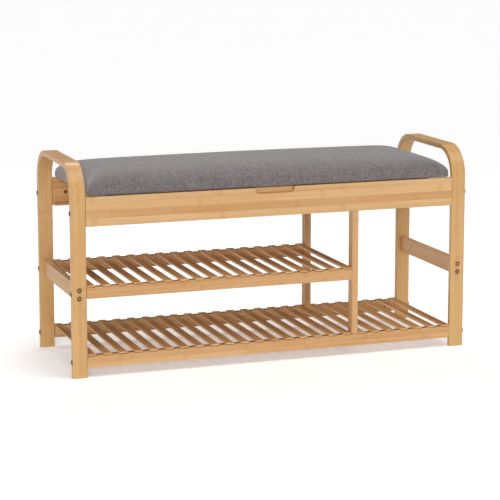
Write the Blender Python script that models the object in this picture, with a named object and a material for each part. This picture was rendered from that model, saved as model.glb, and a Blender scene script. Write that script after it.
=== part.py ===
"""Entryway bench: two bentwood arches, a hinged padded seat over a storage tray and two slatted shelves.

Metres, +X along the bench, -Y towards the front, +Z up. The origin is on the floor under the middle.
"""

import math

import bmesh
import bpy

# Driving dimensions
LENGTH = 1.000  # over the two arches
DEPTH = 0.340
HEIGHT = 0.502
STRIP_WIDTH = 0.036  # bentwood strip, along X
STRIP_THICKNESS = 0.013
BEND_RADIUS = 0.075  # outer radius of an arch's corners
BOARD = 0.015  # thickness of aprons and rails
GAP = 0.0003  # between pieces that touch

APRON_BOTTOM, APRON_TOP = 0.357, 0.426
UPPER_RAIL_BOTTOM, UPPER_RAIL_TOP = 0.1875, 0.2160
LOWER_RAIL_BOTTOM, LOWER_RAIL_TOP = 0.0230, 0.0530
SIDE_RAIL_BOTTOM, SIDE_RAIL_HEIGHT = 0.183, 0.039

SLAT_WIDTH = 0.0204
SLAT_THICKNESS = 0.005
SLAT_PROUD = 0.003  # above the rail that it is let into
UPPER_SLATS, LOWER_SLATS = 18, 25
POST_GAP_INDEX = 17  # the divider stands in the gap after this many lower slats, counted from 0
POST_WIDTH, POST_DEPTH = 0.016, 0.024

TRAY_END_INSET = 0.052  # from the arch's inner face to the tray's end panel
TRAY_END_THICKNESS = 0.012
TRAY_FLOOR_THICKNESS = 0.004
CLEAT_HEIGHT, CLEAT_DEPTH = 0.007, 0.008

LID_CLEARANCE = 0.0065  # from the arch's inner face to the upholstery
LID_LIFT = 0.0025  # from the aprons to the lid board
LID_FRONT_INSET, LID_BACK_INSET = 0.003, 0.007
LID_BOARD_THICKNESS = 0.010
FABRIC_WRAP = 0.0025  # the cover's allowance round the board
CUSHION_TOP = 0.4765
CUSHION_EDGE_HEIGHT = 0.004  # the least height of the cushion's wall
CROWN_START = 0.4316  # height where the crown's curve would leave the vertical
CROWN_RUN = 0.088  # from the cushion's edge to where its top is level
CROWN_POWER = 2.35  # a superellipse, a little squarer than a quarter circle

PULL_TOP_LENGTH, PULL_BOTTOM_LENGTH = 0.102, 0.099
PULL_HEIGHT, PULL_DEPTH, PULL_CORNER = 0.014, 0.0085, 0.011

BOLT_HEAD_RADIUS, BOLT_HEAD_HEIGHT = 0.0057, 0.0018
BOLT_SHANK_RADIUS = 0.0029
SOCKET_RADIUS, SOCKET_DEPTH = 0.0024, 0.0013
SIDE_BOLT_LENGTH, FACE_BOLT_LENGTH = 0.074, 0.050
APRON_BOLT_Z, UPPER_BOLT_Z, LOWER_BOLT_Z = 0.389, 0.1995, 0.038
FACE_BOLT_SPACING = 0.0195
FACE_BOLT_DROP = 0.0036  # the pair's middle below the side rail's middle
NUT_RADIUS, NUT_DEPTH, NUT_FROM_END = 0.0050, 0.0115, 0.033

HINGE_X = 0.300
HINGE_LENGTH = 0.042
LEAF_THICKNESS, LEAF_WIDTH = 0.0010, 0.0085
KNUCKLE_RADIUS, KNUCKLE_BORE, PIN_RADIUS = 0.0026, 0.0014, 0.0011
LEAF_TO_KNUCKLE = 0.0029  # from the hinge's axis to a leaf's plain edge
TAB_TO_KNUCKLE = 0.00175  # from the axis to the end of the tab that holds a knuckle

ARC_STEPS = 10
ROUND_SEGMENTS = 12

# Derived positions
INNER_X = LENGTH / 2 - STRIP_WIDTH  # inner face of an arch
HALF_DEPTH = DEPTH / 2
ARCH_MIDDLE_X = LENGTH / 2 - STRIP_WIDTH / 2
BOLT_Y = HALF_DEPTH - STRIP_THICKNESS / 2
BOARD_INNER_Y = HALF_DEPTH - BOARD
LOWER_PITCH = (2 * (INNER_X - GAP) - SLAT_WIDTH) / (LOWER_SLATS - 1)
POST_X = -INNER_X + GAP + (POST_GAP_INDEX + 0.5) * LOWER_PITCH + SLAT_WIDTH / 2
POST_LEFT_X = POST_X - POST_WIDTH / 2
UPPER_PITCH = (POST_LEFT_X + INNER_X - 2 * GAP - SLAT_WIDTH) / (UPPER_SLATS - 1)
CLEAT_TOP = APRON_BOTTOM + CLEAT_HEIGHT
LID_BOTTOM = APRON_TOP + LID_LIFT
LID_HALF_X = INNER_X - LID_CLEARANCE
LID_FRONT_Y = -HALF_DEPTH + LID_FRONT_INSET
LID_BACK_Y = HALF_DEPTH - LID_BACK_INSET
FIXED_LEAF_TOP = APRON_TOP
LID_LEAF_BOTTOM = LID_BOTTOM - GAP - LEAF_THICKNESS
HINGE_Y = HALF_DEPTH - 0.0035
HINGE_Z = (FIXED_LEAF_TOP + LID_LEAF_BOTTOM) / 2


def clear_scene():
    for item in list(bpy.data.objects):
        bpy.data.objects.remove(item, do_unlink=True)


def principled(name, colour, roughness, metallic=0.0):
    material = bpy.data.materials.new(name)
    material.use_nodes = True
    shader = material.node_tree.nodes["Principled BSDF"]
    shader.inputs["Base Color"].default_value = (*colour, 1.0)
    shader.inputs["Roughness"].default_value = roughness
    shader.inputs["Metallic"].default_value = metallic
    return material


def add_object(name, bm, location=(0.0, 0.0, 0.0), finish=None):
    """Turns a bmesh into an object; finish is (colour, roughness, metallic)."""
    bmesh.ops.recalc_face_normals(bm, faces=bm.faces)
    mesh = bpy.data.meshes.new(name)
    bm.to_mesh(mesh)
    bm.free()
    item = bpy.data.objects.new(name, mesh)
    item.location = location
    bpy.context.scene.collection.objects.link(item)
    if finish:
        mesh.materials.append(principled(name, *finish))
    return item


def as_cutter(item):
    item.hide_render = True
    item.display_type = "WIRE"
    return item


def cut(item, cutter, operation="DIFFERENCE"):
    modifier = item.modifiers.new(cutter.name, "BOOLEAN")
    modifier.operation = operation
    modifier.solver = "EXACT"
    modifier.object = cutter


def round_edges(item, width, segments=1):
    modifier = item.modifiers.new("edges", "BEVEL")
    modifier.width = width
    modifier.segments = segments
    modifier.limit_method = "ANGLE"
    modifier.angle_limit = math.radians(50)


def box_mesh(bm, low, high):
    """Adds a box between two corners."""
    size = [b - a for a, b in zip(low, high)]
    middle = [(a + b) / 2 for a, b in zip(low, high)]
    made = bmesh.ops.create_cube(bm, size=1.0)
    bmesh.ops.scale(bm, vec=size, verts=made["verts"])
    bmesh.ops.translate(bm, vec=middle, verts=made["verts"])


def board(name, low, high, finish, edge=0.0008):
    """A straight board between two world corners, with its origin at its middle."""
    middle = [(a + b) / 2 for a, b in zip(low, high)]
    bm = bmesh.new()
    box_mesh(bm, [a - m for a, m in zip(low, middle)], [b - m for b, m in zip(high, middle)])
    item = add_object(name, bm, middle, finish)
    if edge:
        round_edges(item, edge)
    return item


def extruded(name, outline, axis, low, high, finish=None, location=(0.0, 0.0, 0.0)):
    """A closed outline of (a, b) points, extruded from low to high along axis 'X' or 'Y'."""
    bm = bmesh.new()
    if axis == "X":
        points = [(low, a, b) for a, b in outline]
        travel = (high - low, 0.0, 0.0)
    else:
        points = [(a, low, b) for a, b in outline]
        travel = (0.0, high - low, 0.0)
    face = bm.faces.new([bm.verts.new(point) for point in points])
    side = bmesh.ops.extrude_face_region(bm, geom=[face])
    moved = [element for element in side["geom"] if isinstance(element, bmesh.types.BMVert)]
    bmesh.ops.translate(bm, vec=travel, verts=moved)
    return add_object(name, bm, location, finish)


def arc(centre, radius, start, end, steps):
    """Points from angle start to angle end, in degrees, both included."""
    points = []
    for step in range(steps + 1):
        angle = math.radians(start + (end - start) * step / steps)
        points.append((centre[0] + radius * math.cos(angle), centre[1] + radius * math.sin(angle)))
    return points


def turned(name, profile, direction, location, finish, segments=ROUND_SEGMENTS):
    """A solid of revolution. The profile is (radius, height) points, the first and last on the axis."""
    bm = bmesh.new()
    rings = []
    for radius, height in profile:
        if radius == 0.0:
            rings.append([bm.verts.new((0.0, 0.0, height))])
            continue
        turns = [2 * math.pi * step / segments for step in range(segments)]
        rings.append([bm.verts.new((radius * math.cos(t), radius * math.sin(t), height)) for t in turns])
    for first, second in zip(rings, rings[1:]):
        for step in range(segments):
            after = (step + 1) % segments
            corners = [first[step % len(first)], first[after % len(first)]]
            corners += [second[after % len(second)], second[step % len(second)]]
            bm.faces.new(list(dict.fromkeys(corners)))
    item = add_object(name, bm, location, finish)
    item.rotation_euler = {
        "+X": (0.0, math.pi / 2, 0.0),
        "-X": (0.0, -math.pi / 2, 0.0),
        "+Y": (-math.pi / 2, 0.0, 0.0),
        "-Y": (math.pi / 2, 0.0, 0.0),
    }[direction]
    item.data.shade_smooth()
    item.data.set_sharp_from_angle(angle=math.radians(35))
    return item


def drill(name, radius, direction, location, length, back=0.002):
    """A drill for a round hole, which starts just outside location and runs against direction."""
    profile = [(0.0, back), (radius, back), (radius, -length), (0.0, -length)]
    return as_cutter(turned(name, profile, direction, location, None))


BAMBOO = ((0.640, 0.400, 0.190), 0.42)
BAMBOO_DARK = ((0.560, 0.330, 0.150), 0.45)
PANEL = ((0.620, 0.430, 0.250), 0.55)
FABRIC = ((0.235, 0.215, 0.210), 0.95)
BOLT_METAL = ((0.200, 0.160, 0.120), 0.35, 0.9)
STEEL = ((0.560, 0.560, 0.570), 0.30, 1.0)


def lengthwise_bolts():
    """(name, side, depth, z) of each bolt through an arch into the end of an apron or rail."""
    rows = []
    for side_name, side in (("left", -1), ("right", 1)):
        for row_name, depth in (("front", -1), ("back", 1)):
            rows.append((f"apron_bolt_{side_name}_{row_name}", side, depth, APRON_BOLT_Z))
            rows.append((f"lower_rail_bolt_{side_name}_{row_name}", side, depth, LOWER_BOLT_Z))
            if side < 0:
                rows.append((f"upper_rail_bolt_{side_name}_{row_name}", side, depth, UPPER_BOLT_Z))
    return rows


def face_bolts():
    """(name, side, depth, z) of each bolt through a leg into the end of a side rail."""
    rows = []
    middle = SIDE_RAIL_BOTTOM + SIDE_RAIL_HEIGHT / 2 - FACE_BOLT_DROP
    for side_name, side in (("left", -1), ("right", 1)):
        for row_name, depth in (("front", -1), ("back", 1)):
            for level_name, level in (("upper", 0.5), ("lower", -0.5)):
                z = middle + level * FACE_BOLT_SPACING
                rows.append((f"side_rail_bolt_{side_name}_{row_name}_{level_name}", side, depth, z))
    return rows


def bolt(name, direction, location, length):
    """A flat-headed bolt with a round socket; location is on the wood's surface."""
    top = GAP + BOLT_HEAD_HEIGHT
    chamfer = 0.0005
    profile = [
        (0.0, top - SOCKET_DEPTH),
        (SOCKET_RADIUS, top - SOCKET_DEPTH),
        (SOCKET_RADIUS, top),
        (BOLT_HEAD_RADIUS - chamfer, top),
        (BOLT_HEAD_RADIUS, top - chamfer),
        (BOLT_HEAD_RADIUS, GAP),
        (BOLT_SHANK_RADIUS, GAP),
        (BOLT_SHANK_RADIUS, -length),
        (0.0, -length),
    ]
    return turned(name, profile, direction, location, BOLT_METAL)


def bolt_place(side, depth, z, lengthwise):
    """Where a bolt's head meets the wood, and the way the head faces."""
    if lengthwise:
        return (side * LENGTH / 2, depth * BOLT_Y, z), "+X" if side > 0 else "-X"
    return (side * ARCH_MIDDLE_X, depth * HALF_DEPTH, z), "+Y" if depth > 0 else "-Y"


def drill_for_bolts(item, rows, lengthwise):
    """Drills each bolt's hole, as far as the bolt reaches."""
    length = SIDE_BOLT_LENGTH if lengthwise else FACE_BOLT_LENGTH
    for name, side, depth, z in rows:
        place, direction = bolt_place(side, depth, z, lengthwise)
        hole = drill(f"{item.name}_{name}_hole", BOLT_SHANK_RADIUS + GAP, direction, place, length + GAP)
        cut(item, hole)


def drill_for_nuts(item, depth, z, sides):
    """Blind cross holes for barrel nuts, in a board's inner face."""
    for side in sides:
        place = (side * (INNER_X - NUT_FROM_END), depth * BOARD_INNER_Y, z)
        direction = "-Y" if depth > 0 else "+Y"
        cut(item, drill(f"{item.name}_nut_hole_{side}", NUT_RADIUS, direction, place, NUT_DEPTH))


def add_arch(name, side):
    """A U of bent strip standing on its two ends, its outline in the YZ plane."""
    inner_radius = BEND_RADIUS - STRIP_THICKNESS
    front, back = -HALF_DEPTH + BEND_RADIUS, HALF_DEPTH - BEND_RADIUS
    bend_z = HEIGHT - BEND_RADIUS
    inner_y = HALF_DEPTH - STRIP_THICKNESS
    outline = [(-HALF_DEPTH, 0.0)]
    outline += arc((front, bend_z), BEND_RADIUS, 180, 90, ARC_STEPS)
    outline += arc((back, bend_z), BEND_RADIUS, 90, 0, ARC_STEPS)
    outline += [(HALF_DEPTH, 0.0), (inner_y, 0.0)]
    outline += arc((back, bend_z), inner_radius, 0, 90, ARC_STEPS)
    outline += arc((front, bend_z), inner_radius, 90, 180, ARC_STEPS)
    outline += [(-inner_y, 0.0)]
    half = STRIP_WIDTH / 2
    arch = extruded(name, outline, "X", -half, half, BAMBOO, (side * ARCH_MIDDLE_X, 0.0, 0.0))
    round_edges(arch, 0.0015, 2)
    drill_for_bolts(arch, [row for row in lengthwise_bolts() if row[1] == side], True)
    drill_for_bolts(arch, [row for row in face_bolts() if row[1] == side], False)
    arch.data.shade_smooth()
    arch.data.set_sharp_from_angle(angle=math.radians(35))


def cut_finger_pull(apron):
    """A shallow routed recess in the middle of the top edge, open to the front and the top."""
    top, bottom = APRON_TOP + 0.002, APRON_TOP - PULL_HEIGHT
    slope = (PULL_TOP_LENGTH - PULL_BOTTOM_LENGTH) / 2
    half_bottom = PULL_BOTTOM_LENGTH / 2
    outline = [(half_bottom + slope, top)]
    outline += arc((half_bottom - PULL_CORNER, bottom + PULL_CORNER), PULL_CORNER, 0, -90, 4)
    outline += [(-a, b) for a, b in reversed(outline)]
    back_y = -HALF_DEPTH + PULL_DEPTH
    cut(apron, as_cutter(extruded("finger_pull", outline, "Y", -HALF_DEPTH - 0.002, back_y)))


def cut_hinge_mortises(apron):
    """Shallow seats in the back apron's top edge for the fixed leaves and the knuckles."""
    half = HINGE_LENGTH / 2 + GAP
    knuckle_y = HINGE_Y - LEAF_TO_KNUCKLE
    leaf_z = FIXED_LEAF_TOP - LEAF_THICKNESS - GAP
    knuckle_z = HINGE_Z - KNUCKLE_RADIUS - GAP
    above = APRON_TOP + 0.002
    for side in (-1, 1):
        middle = side * HINGE_X
        outline = [
            (BOARD_INNER_Y - 0.001, above),
            (BOARD_INNER_Y - 0.001, leaf_z),
            (knuckle_y, leaf_z),
            (knuckle_y, knuckle_z),
            (HALF_DEPTH + 0.001, knuckle_z),
            (HALF_DEPTH + 0.001, above),
        ]
        cut(apron, as_cutter(extruded(f"mortise_{side}", outline, "X", middle - half, middle + half)))


def add_aprons():
    for name, depth in (("front_apron", -1), ("back_apron", 1)):
        outer, inner = depth * HALF_DEPTH, depth * BOARD_INNER_Y
        low = (-INNER_X + GAP, min(outer, inner), APRON_BOTTOM)
        high = (INNER_X - GAP, max(outer, inner), APRON_TOP)
        apron = board(name, low, high, BAMBOO, 0.0012)
        if depth < 0:
            cut_finger_pull(apron)
        else:
            cut_hinge_mortises(apron)
        rows = [row for row in lengthwise_bolts() if row[2] == depth and row[3] == APRON_BOLT_Z]
        drill_for_bolts(apron, rows, True)
        drill_for_nuts(apron, depth, APRON_BOLT_Z, (-1, 1))


def add_tray():
    """The storage box between the aprons: two end panels and a floor, on a cleat along each apron."""
    for name, depth in (("front_cleat", -1), ("back_cleat", 1)):
        outer = depth * (BOARD_INNER_Y - GAP)
        inner = depth * (BOARD_INNER_Y - GAP - CLEAT_DEPTH)
        low = (-INNER_X + 0.004, min(outer, inner), APRON_BOTTOM)
        high = (INNER_X - 0.004, max(outer, inner), CLEAT_TOP)
        board(name, low, high, PANEL, 0.0)
    half_y = BOARD_INNER_Y - GAP
    outer_x = INNER_X - TRAY_END_INSET
    inner_x = outer_x - TRAY_END_THICKNESS
    for name, side in (("tray_end_left", -1), ("tray_end_right", 1)):
        xs = sorted((side * outer_x, side * inner_x))
        board(name, (xs[0], -half_y, CLEAT_TOP + GAP), (xs[1], half_y, APRON_TOP - 0.001), PANEL)
    floor_x = inner_x - GAP
    floor_top = CLEAT_TOP + GAP + TRAY_FLOOR_THICKNESS
    board("tray_floor", (-floor_x, -half_y, CLEAT_TOP + GAP), (floor_x, half_y, floor_top), PANEL, 0.0)


def slat_middles(count, pitch):
    """The X of each slat's middle, from the left arch."""
    first = -INNER_X + GAP + SLAT_WIDTH / 2
    return [first + index * pitch for index in range(count)]


def add_upper_shelf():
    """Two notched rails from the left arch to the divider, and loose slats let into them."""
    middles = slat_middles(UPPER_SLATS, UPPER_PITCH)
    slat_top = UPPER_RAIL_TOP + SLAT_PROUD
    slat_bottom = slat_top - SLAT_THICKNESS
    notch_z = slat_bottom - GAP
    start, end = -INNER_X + GAP, POST_LEFT_X - GAP
    outline = [(end, UPPER_RAIL_BOTTOM), (start, UPPER_RAIL_BOTTOM)]
    for middle in middles:
        left = max(middle - SLAT_WIDTH / 2 - GAP, start)
        right = min(middle + SLAT_WIDTH / 2 + GAP, end)
        if left > start:
            outline += [(left, UPPER_RAIL_TOP)]
        outline += [(left, notch_z), (right, notch_z)]
        if right < end:
            outline += [(right, UPPER_RAIL_TOP)]
    for name, depth in (("upper_rail_front", -1), ("upper_rail_back", 1)):
        ys = sorted((depth * HALF_DEPTH, depth * BOARD_INNER_Y))
        rail = extruded(name, outline, "Y", ys[0], ys[1], BAMBOO)
        rows = [row for row in lengthwise_bolts() if row[2] == depth and row[3] == UPPER_BOLT_Z]
        drill_for_bolts(rail, rows, True)
        drill_for_nuts(rail, depth, UPPER_BOLT_Z, (-1,))
    for index, middle in enumerate(middles):
        low = (middle - SLAT_WIDTH / 2, -HALF_DEPTH, slat_bottom)
        high = (middle + SLAT_WIDTH / 2, HALF_DEPTH, slat_top)
        board(f"upper_slat_{index + 1:02d}", low, high, BAMBOO_DARK)


def add_lower_shelf():
    """The factory-glued lower shelf: two rails and its slats, as one grid."""
    bm = bmesh.new()
    for depth in (-1, 1):
        ys = sorted((depth * HALF_DEPTH, depth * BOARD_INNER_Y))
        low = (-INNER_X + GAP, ys[0], LOWER_RAIL_BOTTOM)
        box_mesh(bm, low, (INNER_X - GAP, ys[1], LOWER_RAIL_TOP))
    shelf = add_object("lower_shelf", bm, finish=BAMBOO_DARK)
    bm = bmesh.new()
    top = LOWER_RAIL_TOP + SLAT_PROUD
    inset = 0.00005  # keeps the slats' ends off the rails' own faces
    for middle in slat_middles(LOWER_SLATS, LOWER_PITCH):
        low = (middle - SLAT_WIDTH / 2 + inset, -HALF_DEPTH + inset, top - SLAT_THICKNESS)
        box_mesh(bm, low, (middle + SLAT_WIDTH / 2 - inset, HALF_DEPTH - inset, top))
    cut(shelf, as_cutter(add_object("lower_slats", bm)), "UNION")
    for depth in (-1, 1):
        rows = [row for row in lengthwise_bolts() if row[2] == depth and row[3] == LOWER_BOLT_Z]
        drill_for_bolts(shelf, rows, True)
        drill_for_nuts(shelf, depth, LOWER_BOLT_Z, (-1, 1))


def add_divider():
    """Front and back posts from the lower rails to the aprons, one on each face of the bench."""
    for name, depth in (("divider_post_front", -1), ("divider_post_back", 1)):
        ys = sorted((depth * HALF_DEPTH, depth * (HALF_DEPTH - POST_DEPTH)))
        low = (POST_LEFT_X, ys[0], LOWER_RAIL_TOP + GAP)
        board(name, low, (POST_LEFT_X + POST_WIDTH, ys[1], APRON_BOTTOM - GAP), BAMBOO, 0.0012)


def add_side_rails():
    half_y = HALF_DEPTH - STRIP_THICKNESS - GAP
    top = SIDE_RAIL_BOTTOM + SIDE_RAIL_HEIGHT
    for name, side in (("side_rail_left", -1), ("side_rail_right", 1)):
        middle = side * ARCH_MIDDLE_X
        low = (middle - BOARD / 2, -half_y, SIDE_RAIL_BOTTOM)
        rail = board(name, low, (middle + BOARD / 2, half_y, top), BAMBOO, 0.0012)
        drill_for_bolts(rail, [row for row in face_bolts() if row[1] == side], False)


def crown_stations(half, steps):
    """Places across the cushion, closer together towards its edges."""
    return [-half * math.cos(math.pi * step / steps) for step in range(steps + 1)]


def crown(distance):
    """How much of its full height the crown has reached, this far from an edge."""
    reached = min(distance / CROWN_RUN, 1.0)
    return (1.0 - (1.0 - reached) ** CROWN_POWER) ** (1.0 / CROWN_POWER)


def add_cushion(bottom):
    """A crowned block with a flat underside."""
    middle_y = (LID_FRONT_Y + LID_BACK_Y) / 2
    half_y = (LID_BACK_Y - LID_FRONT_Y) / 2
    start = CROWN_START - bottom
    rise = CUSHION_TOP - CROWN_START
    xs = crown_stations(LID_HALF_X, 20)
    ys = crown_stations(half_y, 12)
    bm = bmesh.new()
    rows = []
    for x in xs:
        row = []
        for y in ys:
            height = start + rise * crown(LID_HALF_X - abs(x)) * crown(half_y - abs(y))
            row.append(bm.verts.new((x, y, max(height, CUSHION_EDGE_HEIGHT))))
        rows.append(row)
    for first, second in zip(rows, rows[1:]):
        for step in range(len(ys) - 1):
            bm.faces.new((first[step], second[step], second[step + 1], first[step + 1]))
    rim = [element for element in bm.edges if element.is_boundary]
    walls = bmesh.ops.extrude_edge_only(bm, edges=rim)["geom"]
    for element in walls:
        if isinstance(element, bmesh.types.BMVert):
            element.co.z = 0.0
    base = [element for element in bm.edges if element.is_boundary]
    bmesh.ops.holes_fill(bm, edges=base)
    return add_object("seat_cushion", bm, (0.0, middle_y, bottom), FABRIC)


def add_lid():
    """The lid turns on the hinge line, so both of its pieces hang from an empty there."""
    axis = bpy.data.objects.new("lid_axis", None)
    axis.location = (0.0, HINGE_Y, HINGE_Z)
    bpy.context.scene.collection.objects.link(axis)
    board_top = LID_BOTTOM + LID_BOARD_THICKNESS
    low = (-LID_HALF_X + FABRIC_WRAP, LID_FRONT_Y + FABRIC_WRAP, LID_BOTTOM)
    high = (LID_HALF_X - FABRIC_WRAP, LID_BACK_Y - FABRIC_WRAP, board_top)
    lid_board = board("lid_board", low, high, PANEL)
    cushion = add_cushion(board_top + GAP)
    for item in (lid_board, cushion):
        item.parent = axis
        item.location = item.location - axis.location
    return axis


def tube_mesh(bm, radius, bore, low, high):
    """A tube along X about the origin."""
    rings = []
    for ring_radius, x in ((radius, low), (radius, high), (bore, high), (bore, low)):
        turns = [2 * math.pi * step / ROUND_SEGMENTS for step in range(ROUND_SEGMENTS)]
        rings.append([bm.verts.new((x, ring_radius * math.cos(t), ring_radius * math.sin(t))) for t in turns])
    for first, second in zip(rings, rings[1:] + rings[:1]):
        for step in range(ROUND_SEGMENTS):
            after = (step + 1) % ROUND_SEGMENTS
            bm.faces.new((first[step], first[after], second[after], second[step]))


def add_leaf(name, location, leaf_low, leaf_high, spans):
    """A hinge leaf about its axis: a plate, with a tab and a knuckle along each span of X."""
    half = HINGE_LENGTH / 2
    bm = bmesh.new()
    box_mesh(bm, (-half, -LEAF_TO_KNUCKLE - LEAF_WIDTH, leaf_low), (half, -LEAF_TO_KNUCKLE, leaf_high))
    leaf = add_object(name, bm, location, STEEL)
    for index, (low, high) in enumerate(spans):
        bm = bmesh.new()
        inset = 0.0001  # keeps the tab's faces off the plate's and the knuckle's
        tab_low = (low + inset, -LEAF_TO_KNUCKLE - 0.001, leaf_low + inset)
        box_mesh(bm, tab_low, (high - inset, -TAB_TO_KNUCKLE, leaf_high - inset))
        cut(leaf, as_cutter(add_object(f"{name}_tab_{index}", bm, location)), "UNION")
        bm = bmesh.new()
        tube_mesh(bm, KNUCKLE_RADIUS, KNUCKLE_BORE, low, high)
        cut(leaf, as_cutter(add_object(f"{name}_knuckle_{index}", bm, location)), "UNION")
    return leaf


def add_hinges(axis):
    """Two butt hinges of three knuckles: the fixed leaf has the outer two, the lid's leaf the middle one."""
    half, third = HINGE_LENGTH / 2, HINGE_LENGTH / 6
    outer_spans = ((-half, -third), (third, half))
    middle_span = ((-third + GAP, third - GAP),)
    fixed_top = FIXED_LEAF_TOP - HINGE_Z
    lid_bottom = LID_LEAF_BOTTOM - HINGE_Z
    for side_name, side in (("left", -1), ("right", 1)):
        place = (side * HINGE_X, HINGE_Y, HINGE_Z)
        fixed_name, lid_name = f"hinge_leaf_fixed_{side_name}", f"hinge_leaf_lid_{side_name}"
        add_leaf(fixed_name, place, fixed_top - LEAF_THICKNESS, fixed_top, outer_spans)
        moving = add_leaf(lid_name, place, lid_bottom, lid_bottom + LEAF_THICKNESS, middle_span)
        moving.parent = axis
        moving.location = moving.location - axis.location
        profile = [(0.0, half), (PIN_RADIUS, half), (PIN_RADIUS, -half), (0.0, -half)]
        turned(f"hinge_pin_{side_name}", profile, "+X", place, STEEL)


def add_bolts():
    for name, side, depth, z in lengthwise_bolts():
        place, direction = bolt_place(side, depth, z, True)
        bolt(name, direction, place, SIDE_BOLT_LENGTH)
    for name, side, depth, z in face_bolts():
        place, direction = bolt_place(side, depth, z, False)
        bolt(name, direction, place, FACE_BOLT_LENGTH)


def build():
    clear_scene()
    add_arch("arch_left", -1)
    add_arch("arch_right", 1)
    add_aprons()
    add_tray()
    add_upper_shelf()
    add_lower_shelf()
    add_divider()
    add_side_rails()
    lid_axis = add_lid()
    add_hinges(lid_axis)
    add_bolts()


build()
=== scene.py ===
"""Looks for the entryway bench: bamboo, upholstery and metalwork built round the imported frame.

Metres, +X along the bench, -Y towards the front, +Z up.
"""

import math
import random

import bmesh
import bpy
import numpy as np
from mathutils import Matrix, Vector


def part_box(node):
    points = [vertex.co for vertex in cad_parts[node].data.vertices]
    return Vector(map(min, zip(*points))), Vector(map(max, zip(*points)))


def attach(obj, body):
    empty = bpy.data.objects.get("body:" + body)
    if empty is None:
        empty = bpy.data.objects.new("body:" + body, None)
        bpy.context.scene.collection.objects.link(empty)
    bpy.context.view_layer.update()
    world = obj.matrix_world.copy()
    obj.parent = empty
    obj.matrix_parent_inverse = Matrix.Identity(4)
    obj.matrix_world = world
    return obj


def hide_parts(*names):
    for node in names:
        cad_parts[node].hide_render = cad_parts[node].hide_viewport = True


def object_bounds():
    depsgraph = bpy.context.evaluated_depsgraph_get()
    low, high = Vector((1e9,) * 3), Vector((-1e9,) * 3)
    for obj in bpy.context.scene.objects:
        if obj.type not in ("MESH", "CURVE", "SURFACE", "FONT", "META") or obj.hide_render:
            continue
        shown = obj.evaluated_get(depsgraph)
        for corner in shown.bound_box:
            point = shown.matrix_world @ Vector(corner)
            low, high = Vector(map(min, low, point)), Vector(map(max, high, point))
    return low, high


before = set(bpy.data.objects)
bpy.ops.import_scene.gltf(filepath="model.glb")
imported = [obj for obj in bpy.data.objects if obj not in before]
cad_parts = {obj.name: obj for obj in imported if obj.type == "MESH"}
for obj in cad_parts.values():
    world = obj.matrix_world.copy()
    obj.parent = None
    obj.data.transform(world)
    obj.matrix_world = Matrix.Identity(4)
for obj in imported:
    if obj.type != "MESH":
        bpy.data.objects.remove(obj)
cad_low, cad_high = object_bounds()
dice = random.Random(41)

# Sizes that a box can't give
GAP = 0.0003  # between pieces that touch
CLEAR = 0.002  # how far a cutter stands outside what it cuts
STRIP_THICKNESS = 0.013
BEND_RADIUS = 0.075
BEND_STEPS = 36
ARCH_ROUNDING = 0.0020
BOARD_ROUNDING = 0.0012
SLAT_ROUNDING = 0.0019
RAIL_ROUNDING = 0.0007
LOWER_SLATS = 25
PULL_TOP, PULL_BOTTOM = 0.0510, 0.0495  # half lengths
PULL_HEIGHT, PULL_DEPTH, PULL_CORNER, PULL_COVE = 0.014, 0.0085, 0.0110, 0.0030

SHANK_RADIUS, SHANK_TIP = 0.0029, 0.0006
HEAD_RADIUS, HEAD_HEIGHT = 0.0057, 0.0018
HEX_APOTHEM, HEX_DEPTH = 0.0021, 0.0028
NUT_RADIUS, NUT_DEPTH, NUT_FROM_END = 0.0050, 0.0115, 0.033
NUT_PLAY = 0.00015

LEAF_WIDTH, LEAF_THICKNESS = 0.0085, 0.0010
KNUCKLE_RADIUS, KNUCKLE_BORE, PIN_RADIUS = 0.0026, 0.0014, 0.0011
LEAF_TO_KNUCKLE, TAB_TO_KNUCKLE = 0.0029, 0.00175
FIXED_SCREWS = (-0.0145, 0.0, 0.0145)  # along the leaf, from its middle
LID_SCREWS = (-0.0150, -0.0045, 0.0100)  # set between the screws of the other leaf

BOARD_CORNER = 0.005  # the lid board's corners in plan
COVER_CORNER = 0.006  # the cover's corners in plan
COVER_TURN = 0.0045  # where the cover turns under
COVER_LOFT = 0.0045  # how far the stuffed cover stands above the plain cushion
CLOTH_CELL = 0.0066  # of the cover's mesh before it is subdivided
CROWN_RUN, CROWN_POWER = 0.088, 2.35  # a superellipse from the edge to the level top
MITRE = 2.8  # how crisp the ridge at the cushion's corners is
SWELL = 0.0035  # left for the simulation to fill
MOST_SHIFT = 0.007  # the simulation moves no point farther
CLOTH_FRAMES = 20
HEM_WIDTH, HEM_THICKNESS = 0.028, 0.0010
LEAF_MARGIN_X, LEAF_MARGIN_Y = 0.0235, 0.002  # where the hem rises over a leaf, from its middle and front
LONG_STAPLES, SHORT_STAPLES = (0.03, 19), (0.04, 6)  # the first one's distance from the end, and how many
STAPLE_INSET, STAPLE_HALF, STAPLE_BEND, WIRE_RADIUS = 0.019, 0.0050, 0.0008, 0.00035

KNUCKLE_PITCH = 0.31  # from one joint of the cane to the next
BOARD_STRIP = 0.0185  # width of a board's glued strips
THREAD_PITCH = 0.00075

# Where the front apron is cut from: pale strips at its top and bottom, a darker one between them
APRON_SEAM = 0.032  # a glue line, below the apron's top
APRON_STRIPS = 25
APRON_START, APRON_LAYER, APRON_PIECE = 1.3, 0.0025, 0.8165

SIDES = (("left", -1), ("right", 1))
DEPTHS = (("front", -1), ("back", 1))


# ---------------------------------------------------------------- materials


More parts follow.
